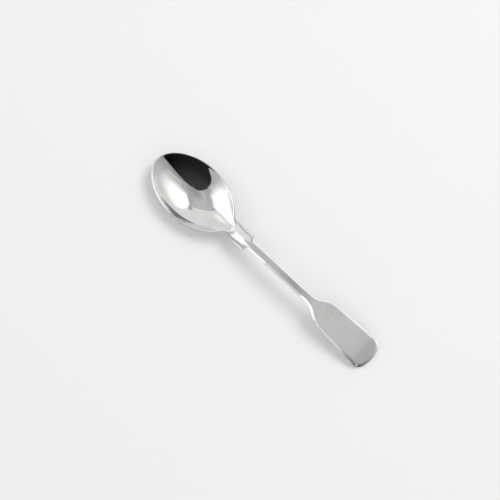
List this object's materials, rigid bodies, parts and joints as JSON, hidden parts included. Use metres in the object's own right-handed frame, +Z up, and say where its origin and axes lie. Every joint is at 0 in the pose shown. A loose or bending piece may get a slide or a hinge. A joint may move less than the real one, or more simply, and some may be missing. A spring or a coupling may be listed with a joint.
{
  "type": "teaspoon",
  "caption": "Fiddle-pattern teaspoon with an egg-shaped bowl, square shoulders at the neck, a bevelled stem and a broad handle end that turns down.",
  "frame": {"origin": "on the surface the spoon lies on, below the middle of its box", "axes": "+X from the tip of the bowl to the end of the handle, +Y to the left shoulder, +Z up out of the hollow of the bowl"},
  "size_m": [0.138, 0.03, 0.0123],
  "materials": {
    "polished_stainless": "mirror-polished stainless steel with faint wiping marks, softer along the top of the handle"
  },
  "bodies": {
    "root": {"bowl": "polished_stainless", "neck": "polished_stainless", "left_shoulder": "polished_stainless", "right_shoulder": "polished_stainless", "stem": "polished_stainless", "fiddle_end": "polished_stainless"}
  },
  "joints": []
}
